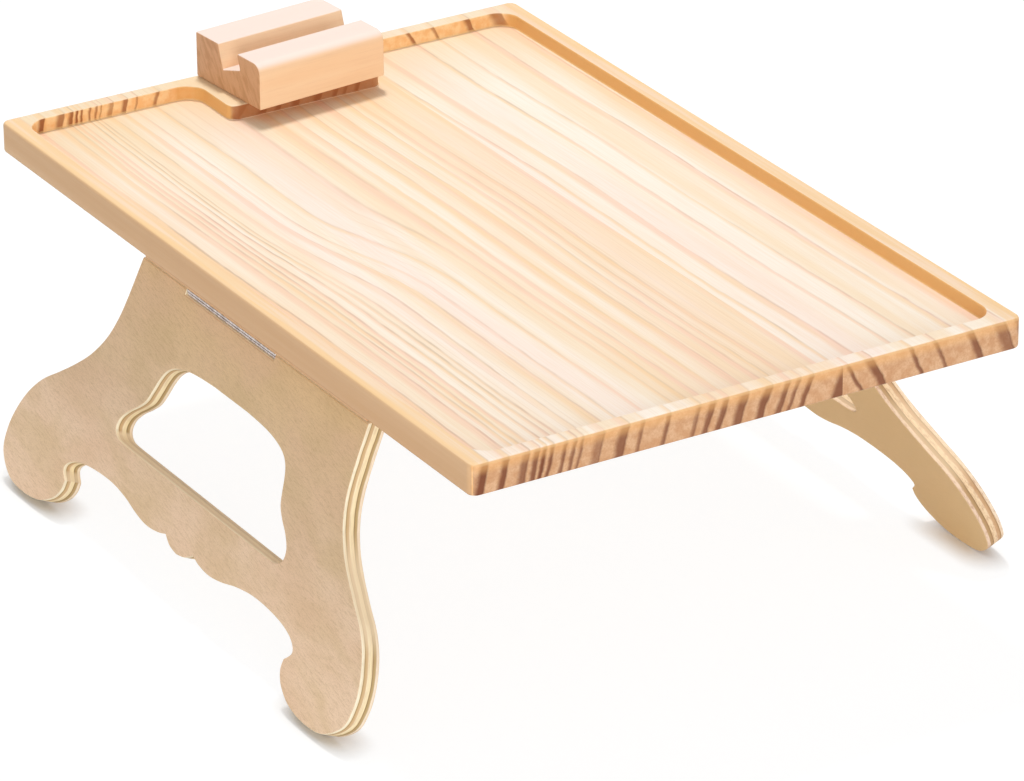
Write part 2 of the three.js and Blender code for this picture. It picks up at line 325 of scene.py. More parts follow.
def rounded_outline(corners, steps=ARC_STEPS):
    """A closed outline through corners (x, y, radius), with an arc at each rounded corner."""
    outline = []
    for i, (x, y, radius) in enumerate(corners):
        corner = Vector((x, y))
        before = (Vector(corners[i - 1][:2]) - corner).normalized()
        after = (Vector(corners[(i + 1) % len(corners)][:2]) - corner).normalized()
        half = math.acos(max(-1, min(1, before.dot(after)))) / 2
        centre = corner + (before + after).normalized() * (radius / math.sin(half))
        start = corner + before * (radius / math.tan(half)) - centre
        turning = -1 if before.x * after.y - before.y * after.x > 0 else 1
        sweep = turning * (math.pi - 2 * half)
        outline += arc(centre, radius, math.atan2(start.y, start.x), sweep, steps)
    return outline


def rounded_rectangle(low, high, near, far, steps=ARC_STEPS):
    """A rectangle from one corner to the other, with a radius at its low x and one at its high x."""
    return rounded_outline([
        (low[0], low[1], near), (high[0], low[1], far), (high[0], high[1], far), (low[0], high[1], near),
    ], steps)


def circle(radius, centre=(0, 0), steps=ROUND_STEPS):
    return arc(centre, radius, 0, 2 * math.pi, steps)[:-1]


def grown(outline, distance):
    """The outline moved outward by a small distance, or inward by a negative one."""
    points = np.array(outline, float)
    ahead = np.roll(points, -1, axis=0) - points
    ahead /= np.maximum(np.linalg.norm(ahead, axis=1, keepdims=True), 1e-9)
    behind = np.roll(ahead, 1, axis=0)
    following = np.roll(points, -1, axis=0)
    area = np.sum(points[:, 0] * following[:, 1] - following[:, 0] * points[:, 1])
    outward = np.sign(area) * np.stack([ahead[:, 1] + behind[:, 1], -ahead[:, 0] - behind[:, 0]], -1)
    scale = 1 + np.sum(ahead * behind, axis=1, keepdims=True)
    return points + outward / np.maximum(scale, MITRE_LIMIT) * distance


def quarter(radius, steps=ARRIS_STEPS):
    """Steps round a quarter arris, as (inset, drop) from its outer corner."""
    angles = [math.pi / 2 * i / steps for i in range(steps + 1)]
    return [(radius * (1 - math.sin(a)), radius * (1 - math.cos(a))) for a in angles]


def rounded_levels(low, high, radius):
    """(height, inset) levels of a wall with a rounded arris at each end."""
    steps = quarter(radius)
    levels = [(low + drop, inset) for inset, drop in steps]
    return levels + [(high - drop, inset) for inset, drop in reversed(steps)]


def spline(points, steps=RUN_STEPS):
    points = np.array(points, float)
    padded = np.vstack([points[0], points, points[-1]])
    out = []
    for i in range(1, len(padded) - 2):
        before, start, end, after = padded[i - 1:i + 3]
        leaving, arriving = (end - before) / 2, (after - start) / 2
        for t in np.arange(steps) / steps:
            cubic = 2 * start - 2 * end + leaving + arriving
            square = -3 * start + 3 * end - 2 * leaving - arriving
            out.append(cubic * t ** 3 + square * t ** 2 + leaving * t + start)
    return out + [points[-1]]


def mirrored_runs(runs):
    """Smooth runs on the +x side, then the same ones mirrored on the way back."""
    out = []
    for run in runs + [[(-x, y) for x, y in run[::-1]] for run in runs[::-1]]:
        out += [tuple(point) for point in spline(run)[:-1]]
    return out + [(-runs[0][0][0], runs[0][0][1])]


# Simple round shells along Z


def cylinder(radius, low, high):
    shell = Shell()
    shell.close([shell.flat_ring(circle(radius), height) for height in (low, high)])
    return shell


def tube(outer, inner, low, high, arris):
    """A ring with broken edges at both ends, outside and inside."""
    shell = Shell()
    levels = rounded_levels(low, high, arris)
    outside = [shell.flat_ring(circle(outer - inset), height) for height, inset in levels]
    inside = [shell.flat_ring(circle(inner + inset), height) for height, inset in levels]
    shell.skins(outside)
    shell.skins(inside)
    shell.cap([outside[0], inside[0]], flipped=True)
    shell.cap([outside[-1], inside[-1]])
    return shell


# Places of the parts in the model frame, in metres


def metres(x, y, z):
    return Matrix.Translation(Vector((x, y, z)) * MM)


TABLE_PLACE = metres(0, MIDDLE_SHIFT, 0)
BOARD_PLACE = TABLE_PLACE @ metres(0, 0, TRAY_HEIGHT)
HOLDER_PLACE = BOARD_PLACE @ metres(PIVOT_OFFSET, PIVOT_Y, BOARD_THICKNESS) @ Matrix.Rotation(TURN, 4, "Z")
TABLE_SIDES = {"right": TABLE_PLACE, "left": TABLE_PLACE @ Matrix.Rotation(math.pi, 4, "Z")}
HINGE_PLACES = {side: place @ metres(AXIS_X, 0, AXIS_Z) for side, place in TABLE_SIDES.items()}
UPWARD = Matrix.Rotation(math.pi, 4, "X")


# Material nodes


class Nodes:
    """Short words for making and joining a tree's nodes."""

    def __init__(self, tree):
        self.tree = tree

    def link(self, value, socket):
        if isinstance(value, bpy.types.NodeSocket):
            self.tree.links.new(value, socket)
        else:
            socket.default_value = colour(value) if isinstance(value, str) else value

    def node(self, kind, inputs=(), output=0, **settings):
        made = self.tree.nodes.new(kind)
        for key, value in settings.items():
            setattr(made, key, value)
        for key, value in dict(inputs).items():
            self.link(value, made.inputs[key])
        return made.outputs[output]

    def math(self, operation, *values):
        return self.node("ShaderNodeMath", dict(enumerate(values)), operation=operation)


class Paint(Nodes):
    """A material and short words for its patterns."""

    def __init__(self, name):
        self.material = bpy.data.materials.new(name)
        self.material.use_nodes = True
        super().__init__(self.material.node_tree)
        self.shader = self.tree.nodes["Principled BSDF"]
        self.coordinates = self.tree.nodes.new("ShaderNodeTexCoord")

    def plus(self, first, second):
        return self.math("ADD", first, second)

    def minus(self, first, second):
        return self.math("SUBTRACT", first, second)

    def times(self, first, second):
        return self.math("MULTIPLY", first, second)

    def most(self, first, second):
        return self.math("MAXIMUM", first, second)

    def size(self, value):
        return self.math("ABSOLUTE", value)

    def vector(self, operation, *values):
        return self.node("ShaderNodeVectorMath", dict(enumerate(values)), operation=operation)

    def place(self, scale=(1, 1, 1), offset=(0, 0, 0), turn=(0, 0, 0)):
        """Object coordinates in millimetres, turned, then scaled and moved."""
        turned = self.node("ShaderNodeMapping", {
            "Vector": self.coordinates.outputs["Object"], "Rotation": turn, "Scale": (1 / MM,) * 3,
        })
        return self.node("ShaderNodeMapping", {"Vector": turned, "Location": offset, "Scale": scale})

    def split(self, vector, axis):
        return self.node("ShaderNodeSeparateXYZ", {0: vector}, axis)

    def normal(self, axis):
        return self.split(self.coordinates.outputs["Normal"], axis)

    def facing(self, axis):
        return self.size(self.normal(axis))

    def grain(self, scale, offset=(0, 0, 0), turn=(0, 0, 0), detail=2.0, rough=0.5, distortion=0.0,
              output=0):
        """Noise with a scale for each axis. A small scale makes long patches."""
        return self.node("ShaderNodeTexNoise", {
            "Vector": self.place(scale, offset, turn), "Scale": 1.0, "Detail": detail,
            "Roughness": rough, "Distortion": distortion,
        }, output)

    def sway(self, scale, offset, reach, detail=2.0):
        """A vector that wanders by up to half a reach either way."""
        noise = self.grain(scale, offset, detail=detail, output=1)
        return self.vector("MULTIPLY", self.vector("SUBTRACT", noise, (0.5,) * 3), reach)

    def spread(self, value, low, high, to_low=0.0, to_high=1.0, smooth=True):
        return self.node("ShaderNodeMapRange", {
            "Value": value, "From Min": low, "From Max": high, "To Min": to_low, "To Max": to_high,
        }, interpolation_type="SMOOTHSTEP" if smooth else "LINEAR")

    def mix(self, share, first, second, blend="MIX"):
        inputs = {0: share, 6: first, 7: second}
        return self.node("ShaderNodeMix", inputs, 2, data_type="RGBA", blend_type=blend)

    def tint(self, base, shade, value, low, high, share=1.0):
        """Mixes a shade into the base as a value rises from low to high."""
        return self.mix(self.spread(value, low, high, 0.0, share), base, shade)

    def within(self, value, low, high, soft):
        """1 between two limits and 0 outside them."""
        rise = self.spread(value, low - soft, low + soft)
        return self.times(rise, self.spread(value, high - soft, high + soft, 1.0, 0.0))

    def ramp(self, value, stops):
        made = self.tree.nodes.new("ShaderNodeValToRGB")
        elements = made.color_ramp.elements
        for i, (position, shade) in enumerate(stops):
            element = elements[i] if i < 2 else elements.new(position)
            element.position = position
            element.color = colour(shade)
        self.link(value, made.inputs[0])
        return made.outputs[0]

    def bump(self, height, strength, distance):
        inputs = {"Height": height, "Strength": strength, "Distance": distance * MM}
        return self.node("ShaderNodeBump", inputs)

    def finish(self, base, roughness, normal):
        self.link(base, self.shader.inputs["Base Color"])
        self.link(roughness, self.shader.inputs["Roughness"])
        self.link(normal, self.shader.inputs["Normal"])
        return self.material


def colour(code):
    parts = [int(code[i:i + 2], 16) / 255 for i in (1, 3, 5)]
    return tuple(c / 12.92 if c <= 0.04045 else ((c + 0.055) / 1.055) ** 2.4 for c in parts) + (1,)


# Growth rings of the board's two staves, as (start, end, depth of tone) across the top of the front edge
STAVE_JOINT = 42.5
LEFT_RINGS = [
    (-126.0, -121.8, 1.0), (-115.8, -112.6, 0.95), (-106.8, -103.0, 0.8), (-101.0, -98.4, 0.9),
    (-97.0, -95.2, 1.0), (-93.4, -91.8, 0.9), (-87.6, -86.0, 0.8), (-83.2, -81.6, 0.75),
    (-79.4, -78.4, 0.6), (-73.5, -69.0, 0.6), (-62.4, -57.6, 0.85), (-51.8, -50.2, 0.6),
    (-39.8, -38.0, 0.75), (-26.0, -24.2, 0.6), (-20.4, -17.4, 0.85), (-14.0, -11.2, 0.85),
    (-6.4, -1.6, 0.85), (5.0, 9.6, 0.9), (15.0, 18.0, 0.85), (21.0, 22.8, 0.75), (26.6, 29.2, 0.85),
]
RIGHT_RINGS = [
    (42.9, 44.7, 0.85), (52.2, 56.6, 0.9), (73.6, 75.4, 0.85), (85.6, 87.2, 0.7),
    (101.6, 105.4, 0.85), (114.5, 121.0, 0.7), (125.5, 127.0, 0.5),
]
LEFT_PITH = (190, -60)
RIGHT_PITH = (-95, -75)
BAND_SOFTNESS = 0.8
BAND_EDGE = 0.35
LINE_CORE, LINE_EDGE = 0.1, 0.9
# The rings of the left stave bend round a spot and come back to their places at the front.
BEND_MIDDLE = -58
BEND_BREADTH = 45
BEND_REACH = 17
BEND_START, BEND_END = 58, -42
# The right stave's rings drift steadily, and the middle of the board is a darker peach.
DRIFT = 3.5
PEACH_START, PEACH_END = -27, 41
# A dark wedge of late wood fills the left stave's corner at the joint.
WEDGE_START, WEDGE_END, WEDGE_SLOPE = 7.5, 4.5, 0.42
# Thin threads between the rings, in each millimetre
THREAD_RATE = 0.31
# Places where the tone of the lines changes across the board
FIRM_START, FIRM_END = -85, -40
FIRM_AGAIN_START, FIRM_AGAIN_END = 40, 44
# Depths of the painted highlight under the top of the end faces, and of the rim's yellow border
END_HIGHLIGHT_DEPTH, ARRIS_HIGHLIGHT_DEPTH, ARRIS_HIGHLIGHT_TOP = 6, 1.8, 0.6
BORDER_START, BORDER_END = 4, 1.5


def ring_tones(paint, crossing, rings):
    """The rings as broad bands, dark towards their ends as late wood is, and as thin end lines."""
    bands, lines = 0.0, 0.0
    for begin, end, tone in rings:
        up = paint.spread(crossing, begin - BAND_SOFTNESS, (begin + end) / 2, 0.0, tone)
        down = paint.spread(crossing, end - BAND_EDGE, end + BAND_EDGE, 1.0, 0.0)
        bands = paint.most(bands, paint.times(up, down))
        away = paint.size(paint.minus(crossing, end))
        lines = paint.most(lines, paint.spread(away, LINE_CORE, LINE_EDGE, 1.0, 0.0))
    return bands, lines


def ring_crossing(paint, across, up, pith):
    """Where the ring through a place crosses the top of the front edge."""
    centre, depth = pith
    a = paint.minus(across, centre)
    b = paint.minus(up, depth)
    square = paint.plus(paint.times(a, a), paint.times(b, b))
    top = BOARD_THICKNESS - depth
    reach = paint.math("SQRT", paint.most(paint.minus(square, top * top), 0.0))
    return paint.plus(paint.times(reach, -1.0 if centre > 0 else 1.0), centre)


def pine_rings(paint, place, shift):
    plus, minus, times = paint.plus, paint.minus, paint.times
    spread, split = paint.spread, paint.split
    wander = paint.sway((0.01, 0.006, 0.02), shift, (7, 0, 4), detail=1.0)
    ripple = paint.sway((0.12, 0.014, 0.12), shift, (1.6, 0, 1.6))
    shake = paint.sway((0.3, 0.07, 0.3), shift, (0.9, 0, 0.9))
    ripple = paint.vector("ADD", ripple, shake)
    # The rings keep their places at the front face and wander from them on the way back.
    along = split(place, 1)
    back = spread(along, -BOARD_LENGTH / 2, -BOARD_LENGTH / 4)
    wander = paint.node("ShaderNodeVectorMath", {0: wander, 3: back}, operation="SCALE")
    spot = paint.vector("ADD", paint.vector("ADD", place, wander), ripple)
    across, up = split(spot, 0), split(spot, 2)

    away = paint.size(minus(across, BEND_MIDDLE))
    bend = spread(away, 0, BEND_BREADTH, BEND_REACH, 0.0)
    swerve = times(bend, spread(along, BEND_END, BEND_START))
    drift = spread(along, -BOARD_LENGTH / 2, BOARD_LENGTH / 2, 0.0, DRIFT, smooth=False)
    left = ring_crossing(paint, plus(across, swerve), up, LEFT_PITH)
    right = ring_crossing(paint, plus(across, drift), up, RIGHT_PITH)

    slope = plus(split(place, 0), times(split(place, 2), -WEDGE_SLOPE))
    wedge = spread(slope, STAVE_JOINT - WEDGE_START, STAVE_JOINT - WEDGE_END, 0.0, 0.9)
    left_bands, left_lines = ring_tones(paint, left, LEFT_RINGS)
    right_bands, right_lines = ring_tones(paint, right, RIGHT_RINGS)
    on_right = paint.math("GREATER_THAN", split(place, 0), STAVE_JOINT)
    on_left = minus(1.0, on_right)
    bands = times(paint.most(left_bands, wedge), on_left)
    bands = plus(bands, times(right_bands, on_right))
    lines = plus(times(left_lines, on_left), times(right_lines, on_right))

    # Fainter lines fill the spaces between the rings.
    thread = paint.math("FRACT", times(left, THREAD_RATE))
    thread = spread(paint.size(minus(thread, 0.5)), 0.0, 0.14, 1.0, 0.0)
    patchy = paint.grain((0.06, 0.008, 0.06), shift)
    thread = times(thread, spread(patchy, 0.4, 0.65, 0.0, 0.5))
    return bands, lines, times(thread, on_left)


def pine_material(name, shift=(0, 0, 0), board=False):
    paint = Paint(name)
    mix, tint, spread, times, within = paint.mix, paint.tint, paint.spread, paint.times, paint.within
    place = paint.place(offset=shift)
    bands, lines, threads = pine_rings(paint, place, shift)
    across, along, up = (paint.split(place, axis) for axis in range(3))
    half_width, half_length = BOARD_WIDTH / 2, BOARD_LENGTH / 2

    def grain(*scale, **settings):
        return paint.grain(scale, shift, **settings)

    # Long faces are pale, with soft tan and pinkish streaks along the grain.
    streak = grain(0.09, 0.0022, 0.09, detail=3.0, rough=0.55)
    fibre = grain(1.6, 0.03, 1.6)
    hue = grain(0.11, 0.007, 0.11)
    long_face = tint("#FCF0E0", "#F8E2C4", streak, 0.36, 0.68)
    long_face = tint(long_face, "#FBE3D6", grain(0.05, 0.003, 0.05), 0.45, 0.7, 0.6)
    side_face = tint("#EBC397", "#DFB283", streak, 0.3, 0.7)
    if board:
        # The middle is a darker peach, most of all towards both ends, and the back is yellower.
        peach = within(across, PEACH_START, PEACH_END, 3)
        ends = spread(paint.size(along), BOARD_LENGTH * 0.2, BOARD_LENGTH * 0.42, 0.0, 0.35)
        peach = times(peach, paint.plus(spread(streak, 0.3, 0.6, 0.15, 0.6), ends))
        long_face = mix(peach, long_face, "#F8DBB8")
        long_face = tint(long_face, "#EDD4AA", along, BOARD_LENGTH * 0.3, BOARD_LENGTH * 0.48, 0.6)
    # Broad bands are tan in places and pinkish in others.
    band_tone = tint("#F5CB92", "#F6C6AA", hue, 0.42, 0.6)
    long_face = mix(times(bands, 0.62), long_face, band_tone)
    # Lines are strongest near the left rim, weakest in the middle, and fade in and out along the board.
    firm = spread(across, FIRM_START, FIRM_END, 0.7, 0.34)
    firm = paint.plus(firm, spread(across, FIRM_AGAIN_START, FIRM_AGAIN_END, 0.0, 0.22))
    firm = times(spread(grain(0.08, 0.009, 0.08), 0.34, 0.62, 0.15, 1.0), firm)
    firm = times(spread(grain(0.25, 0.05, 0.25), 0.35, 0.6, 0.45, 1.0), firm)
    line_tone = tint("#C4A98A", "#D2A68C", hue, 0.42, 0.6)
    long_face = mix(times(lines, firm), long_face, line_tone)
    long_face = mix(times(threads, 0.45), long_face, "#D8BC9C")
    long_face = tint(long_face, "#E6BD8C", fibre, 0.35, 0.7, 0.16)

    # End grain is orange and shows the rings dark.
    speck = grain(1.1, 1.1, 1.1, detail=3.0, rough=0.75)
    mottle = grain(0.22, 0.22, 0.22, detail=3.0, rough=0.6)
    end_face = tint("#DCB088", "#CC996E", mottle, 0.35, 0.65)
    end_face = tint(end_face, "#BE8250", speck, 0.4, 0.7, 0.5)
    end_face = mix(bands, end_face, "#7A3F1C")
    end_face = mix(times(lines, 0.45), end_face, "#6C3A1A")

    if board:
        # The rim is yellower than the floor along both sides, with a deeper border and fine veins.
        off_middle = paint.size(across)
        top = spread(up, BOARD_THICKNESS - 2, BOARD_THICKNESS - 0.5)
        rim = tint("#F3D3A8", "#EEC898", streak, 0.35, 0.65)
        rim = mix(spread(across, 0, 1, 0.5, 0.0), rim, "#F4D3A4")
        vein = tint("#F6C88A", "#FADCC8", grain(0.4, 0.012, 0.4), 0.42, 0.58)
        rim = mix(0.4, rim, vein)
        rim = tint(rim, "#F8C880", off_middle, half_width - BORDER_START, half_width - BORDER_END, 0.6)
        inner = half_width - RIM_WIDTH
        edge = times(spread(off_middle, inner - 1, inner + 1), top)
        long_face = mix(times(edge, 0.85), long_face, rim)
        # The boss is a little yellower too.
        boss = times(within(across, -BOSS_WIDTH * 0.7, BOSS_WIDTH * 0.7, 4), top)
        boss = times(boss, spread(along, half_length - 45, half_length - 40, 0.0, 0.6))
        long_face = mix(boss, long_face, "#F3D9AE")
        # End faces are painted lighter towards their top arris, a painted highlight, and sides are dark at
        # their bottom arris.
        highlight_top = BOARD_THICKNESS - ARRIS_HIGHLIGHT_DEPTH
        end_face = tint(end_face, "#F7B96E", up, BOARD_THICKNESS - END_HIGHLIGHT_DEPTH, highlight_top, 0.4)
        end_face = tint(end_face, "#F8CA90", up, highlight_top, BOARD_THICKNESS - ARRIS_HIGHLIGHT_TOP, 0.5)
        side_face = mix(spread(up, 0.3, 1.5, 0.75, 0.0), side_face, "#AE7448")

        # Walls of the recess are a deeper orange where they are cut across the grain.
        inside = within(across, 1 - half_width, half_width - 1, 0.2)
        inside = times(inside, within(along, 1 - half_length, half_length - 1, 0.2))
        cut_face = tint("#FDD29A", "#F6BC7C", mottle, 0.35, 0.65)
        # The boss's front is painted a dark brown, a painted shadow under the holder block's overhang, and
        # the hollow curves beside it are orange.
        boss_front = half_length - RIM_WIDTH - BOSS_LENGTH
        front = within(across, -BOSS_WIDTH / 2, BOSS_WIDTH / 2, 3)
        front = times(front, spread(along, boss_front + 3, half_length - 20, 0.85, 0.0))
        cut_face = mix(front, cut_face, "#A25E30")
        hollow = within(off_middle, BOSS_WIDTH / 2 + 1, BOSS_WIDTH / 2 + BOSS_FILLET_RADIUS, 1)
        cut_face = mix(times(hollow, 0.7), cut_face, "#E8A858")
        cut_face = mix(bands, cut_face, "#9A5522")
        end_face = mix(inside, end_face, cut_face)
        side_face = mix(times(inside, 0.85), side_face, "#EFB466")

    base = mix(spread(paint.facing(0), 0.45, 0.8), long_face, side_face)
    base = mix(spread(paint.facing(1), 0.45, 0.8), base, end_face)
    if board:
        # The curve between the floor and the walls is yellowish.
        floor = BOARD_THICKNESS - RECESS_DEPTH
        curve = within(up, floor + 0.05, floor + RECESS_FLOOR_FILLET * 1.4, 0.04)
        # The yellowish curve is kept out of the painted shadow on the boss's front.
        share = paint.minus(0.45, times(front, 0.53))
        base = mix(times(times(curve, inside), share), base, "#FAD394")
    relief = paint.plus(fibre, times(lines, 0.6))
    return paint.finish(base, spread(fibre, 0.3, 0.7, 0.5, 0.62), paint.bump(relief, 0.25, 0.15))


# Tones through the plies, from the outer face inward as shares of the thickness
PLY_TONES = [
    (0.0, "#E9CFA8"), (0.04, "#FFF8DE"), (0.16, "#FEF1D0"), (0.19, "#A5844F"), (0.24, "#CFAF80"),
    (0.36, "#DFBE92"), (0.4, "#FFEFC8"), (0.61, "#FCE8BA"), (0.64, "#8E7040"), (0.68, "#B79A68"),
    (0.8, "#C8AE7E"), (0.84, "#FCEAD0"), (1.0, "#F8E4C8"),
]
FACE_GRAIN_LEAN = (0, 0, 0.17)


def plywood_material(name, blush):
    """Plies seen on edge, and the faces. Blush makes the edges pinker."""
    paint = Paint(name)
    grain, tint = paint.grain, paint.tint
    place = paint.place()
    depth = paint.times(paint.split(place, 2), -1.0 / LEG_THICKNESS)
    depth = paint.plus(depth, paint.spread(grain((0.05,) * 3), 0.3, 0.7, -0.02, 0.02))
    layers = paint.ramp(depth, PLY_TONES)
    scale = 0.12 + 0.3 * blush
    fleck = grain((scale, scale, 1.6), detail=3.0, rough=0.7)
    layers = tint(layers, "#C59C70", fleck, 0.42, 0.68, 0.3 + 0.35 * blush)
    layers = paint.mix(blush, layers, "#F4E5E2", blend="MULTIPLY")
    # Edges that face up are painted pale, a painted highlight that lightens them in the shade under the
    # tray.
    layers = tint(layers, "#FFEAC8", paint.normal(1), 0.5, 0.8, 0.7 - 0.35 * blush)

    fuzz = grain((0.2, 1.4, 1.4), turn=FACE_GRAIN_LEAN, detail=3.0, rough=0.7, distortion=0.5)
    cloud = grain((0.02, 0.05, 0.05), turn=FACE_GRAIN_LEAN, detail=3.0, rough=0.6, distortion=0.6)
    warm = grain((0.016, 0.03, 0.03), (7, 3, 0), rough=0.6)
    # The face is yellower and a little darker at the top of the leg, partly painted shade under the tray,
    # and pinker at its foot.
    foot = -PANEL_TOP - PANEL_LENGTH * 0.7
    face = tint("#EECC9C", "#FADABA", paint.split(place, 1), -PANEL_TOP, foot)
    face = tint(face, "#DDBE8C", cloud, 0.38, 0.66, 0.5)
    face = tint(face, "#F0C9A6", warm, 0.42, 0.66, 0.5)
    face = tint(face, "#C4A070", fuzz, 0.42, 0.74, 0.42)
    face = tint(face, "#C4A074", grain((1.6,) * 3, rough=0.6), 0.45, 0.7, 0.3)
    # The inner face is painted lighter and yellower, painted light that makes up for the shade under the
    # tray.
    face = tint(face, "#F4D19A", paint.normal(2), -0.6, -0.9, 0.85)
    base = paint.mix(paint.spread(paint.facing(2), 0.55, 0.85), layers, face)
    return paint.finish(base, 0.62, paint.bump(fuzz, 0.2, 0.1))


def beech_material(name):
    paint = Paint(name)
    grain, tint = paint.grain, paint.tint
    fibre = grain((0.05, 1.1, 1.1), detail=3.0, rough=0.6)
    face = tint("#F8D6B0", "#F5CCA2", grain((0.006, 0.09, 0.09)), 0.35, 0.65)
    face = tint(face, "#E8B98F", fibre, 0.45, 0.75, 0.3)
    # Faces that look up are painted paler, a painted highlight of the light from above, and the beech keeps
    # its peach colour on its sides.
    face = tint(face, "#F5E2D9", paint.normal(2), 0.35, 0.85, 0.85)
    arcs = grain((0.1, 0.45, 0.12), turn=(0.5, 0, 0), distortion=0.6)
    ends = tint("#DDAB80", "#CB9668", arcs, 0.4, 0.7)
    ends = tint(ends, "#B4825A", grain((2.4,) * 3, detail=3.0, rough=0.7), 0.45, 0.75, 0.3)
    base = paint.mix(paint.spread(paint.facing(0), 0.6, 0.85), face, ends)
    return paint.finish(base, 0.55, paint.bump(fibre, 0.2, 0.1))


def metal_material(name, base, dark, roughness):
    paint = Paint(name)
    paint.shader.inputs["Metallic"].default_value = 1.0
    brushed = paint.grain((2.5, 0.12, 2.5), detail=3.0, rough=0.6)
    shade = paint.tint(base, dark, paint.grain((0.5,) * 3), 0.35, 0.7)
    rough = paint.spread(brushed, 0.3, 0.7, roughness - 0.03, roughness + 0.04)
    return paint.finish(shade, rough, paint.bump(brushed, 0.05, 0.03))


PINE = pine_material("pine_board", board=True)
RAIL_PINE = pine_material("pine_rail", shift=(-60, 60, 20))
PLYWOOD = {"left": plywood_material("plywood_left", 0.05), "right": plywood_material("plywood_right", 0.9)}
BEECH = beech_material("beech_block")
STEEL = metal_material("hinge_steel_plate", "#EAE2E0", "#C2B7B3", 0.38)
ZINC = metal_material("zinc_plating", "#C3C2BD", "#A2A19B", 0.4)


def dress(piece, material, node, body):
    """Gives a piece its finish and lets it stand for its node."""
    piece.data.materials.clear()
    piece.data.materials.append(material)
    weigh_normals(piece)
    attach(piece, body)
    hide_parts(node)


# Tray board


def recess_outline():
    half_width = BOARD_WIDTH / 2 - RIM_WIDTH
    half_length = BOARD_LENGTH / 2 - RIM_WIDTH
    right = [
        (half_width, -half_length, RECESS_CORNER_RADIUS),
        (half_width, half_length, RECESS_CORNER_RADIUS),
        (BOSS_WIDTH / 2, half_length, BOSS_FILLET_RADIUS),
        (BOSS_WIDTH / 2, half_length - BOSS_LENGTH, BOSS_CORNER_RADIUS),
    ]
    left = [(-x, y, radius) for x, y, radius in reversed(right)]
    return rounded_outline([left[-1], *right, *left[:-1]])


def tray_board():
    half_width, half_length = BOARD_WIDTH / 2, BOARD_LENGTH / 2
    corner = (half_width, half_length)
    plan = rounded_rectangle((-half_width, -half_length), corner, BOARD_CORNER_RADIUS, BOARD_CORNER_RADIUS)
    shell = Shell()
    sides = shell.walls(plan, rounded_levels(0, BOARD_THICKNESS, BOARD_ARRIS))

    floor = BOARD_THICKNESS - RECESS_DEPTH
    levels = [(BOARD_THICKNESS - drop, -inset) for inset, drop in quarter(RECESS_ARRIS)]
    levels += [(floor + drop, inset) for inset, drop in reversed(quarter(RECESS_FLOOR_FILLET))]
    walls = shell.walls(recess_outline(), levels)

    # The pivot screw comes up through a countersunk hole, and the rail screws' holes are blind.
    mouth, end = shell.screw_hole((PIVOT_OFFSET, PIVOT_Y), PIVOT_SCREW, 0, BOARD_THICKNESS)
    middle = RAIL_OUTER_X - RAIL_WIDTH / 2
    depth = RAIL_SCREW["length"] + FIT - RAIL_HEIGHT
    spots = [(x, y) for x in (-middle, middle) for y in RAIL_SCREW_PLACES]
    mouths = [shell.blind_hole(spot, RAIL_SCREW, 0, depth) for spot in spots]
    shell.cap([sides[0], mouth, *mouths], flipped=True)
    shell.cap([sides[-1], walls[0], end])
    shell.cap([walls[-1]])
    piece = shell.piece("tray_board_pine", BOARD_PLACE)
    dress(piece, PINE, "tray_board", "tray")


tray_board()

# Legs


def panel_points(shares):
    return [(x * LEG_SPREAD / 2, -PANEL_TOP - y * PANEL_LENGTH) for x, y in shares]


def leg_ring(shell, depth, inset):
    """The leg's outline at a depth under its outer face, with the level cuts at its top."""
    top = (AXIS_Z + RAIL_SEAT - STOP_GAP - TRAY_HEIGHT + depth * math.sin(SPLAY)) / math.cos(SPLAY)
    seat = (AXIS_Z - RAIL_SEAT - FIT - TRAY_HEIGHT + depth * math.sin(SPLAY)) / math.cos(SPLAY)
    sides = mirrored_runs([panel_points(shares) for shares in (SIDE_SHARES, ARCH_SHARES, LOBE_SHARES)])
    corner = (LEG_TOP_WIDTH / 2, top)
    for end in (0, -1):
        sides[end] = (sides[end][0], min(sides[end][1], top - LEG_ARRIS))
    level = [(-corner[0], top), (HINGE_START - FIT, top), (HINGE_START - FIT, seat)]
    level += [(HINGE_END + FIT, seat), (HINGE_END + FIT, top), corner]
    return shell.flat_ring(grown(level + sides, -inset), -depth)


def window_ring(shell, depth, inset):
    return shell.flat_ring(grown(mirrored_runs([panel_points(WINDOW_SHARES)]), inset), -depth)


def ply_levels():
    """(depth, inset) steps through the panel, with an arris at each face and a line at each glue joint."""
    levels = [(drop, inset) for inset, drop in quarter(LEG_ARRIS)]
    for i in range(1, PLY_COUNT):
        joint = LEG_THICKNESS * i / PLY_COUNT
        levels += [(joint - GLUE_BREADTH, 0), (joint, PLY_RELIEF), (joint + GLUE_BREADTH, 0)]
    return levels + [(LEG_THICKNESS - drop, inset) for inset, drop in reversed(quarter(LEG_ARRIS))]


def leg_panel(side):
    shell = Shell()
    outer = [leg_ring(shell, depth, inset) for depth, inset in ply_levels()]
    inner = [window_ring(shell, depth, inset) for depth, inset in ply_levels()]
    shell.skins(outer)
    shell.skins(inner)
    shell.cap([outer[0], inner[0]])
    shell.cap([outer[-1], inner[-1]], flipped=True)
    lean = Matrix((
        (0, -math.sin(SPLAY), math.cos(SPLAY), 0),
        (1, 0, 0, 0),
        (0, math.cos(SPLAY), math.sin(SPLAY), 0),
        (0, 0, 0, 1),
    ))
    place = TABLE_SIDES[side] @ metres(LEG_FACE_X, 0, TRAY_HEIGHT) @ lean
    piece = shell.piece(f"{side}_leg_plywood", place, sharp=40)
    dress(piece, PLYWOOD[side], f"{side}_leg_panel", f"{side}_leg")


for side in TABLE_SIDES:
    leg_panel(side)

# Phone holder


